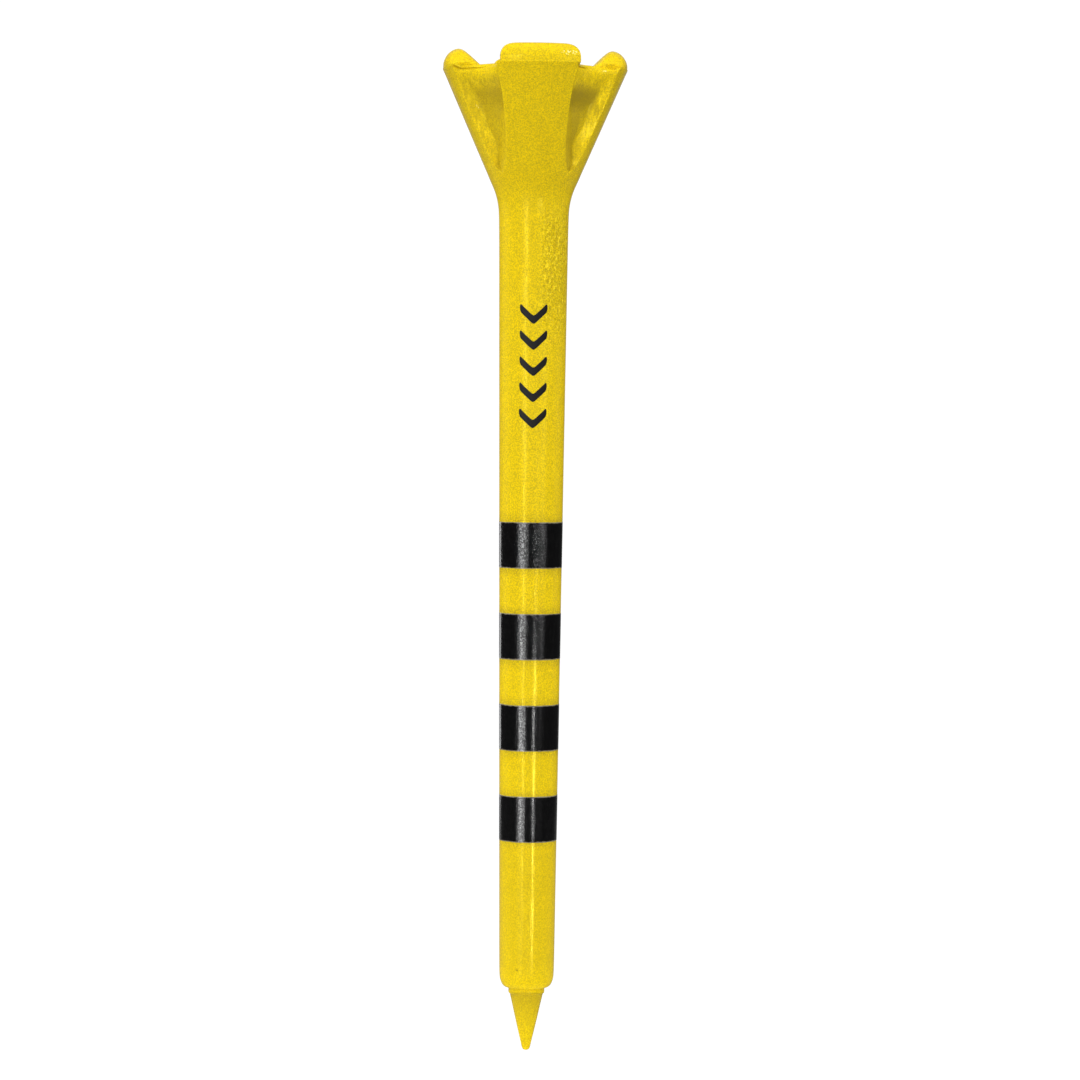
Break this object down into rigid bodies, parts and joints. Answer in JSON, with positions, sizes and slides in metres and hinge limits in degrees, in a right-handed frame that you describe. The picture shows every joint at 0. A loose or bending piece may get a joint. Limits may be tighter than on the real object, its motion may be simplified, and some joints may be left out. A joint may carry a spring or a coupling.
{
  "type": "golf tee",
  "caption": "Moulded plastic golf tee with a pronged crown that seats a ball, a tapered shank with printed height bands and arrow marks, and a stepped point.",
  "frame": {"origin": "end of the point, on the axis", "axes": "+Z along the axis from the point to the crown; one prong's outer face looks along -Y, and the arrow marks are on that side; +X runs to the right of that face"},
  "size_m": [0.0128, 0.0128, 0.0698],
  "materials": {
    "body": "glossy moulded plastic with a fine orange-peel skin",
    "ink": "glossy black printed ink"
  },
  "bodies": {
    "root": {"tee_body": "body", "height_band_1": "ink", "height_band_2": "ink", "height_band_3": "ink", "height_band_4": "ink", "arrow_mark_1": "ink", "arrow_mark_2": "ink", "arrow_mark_3": "ink", "arrow_mark_4": "ink", "arrow_mark_5": "ink"}
  },
  "joints": []
}
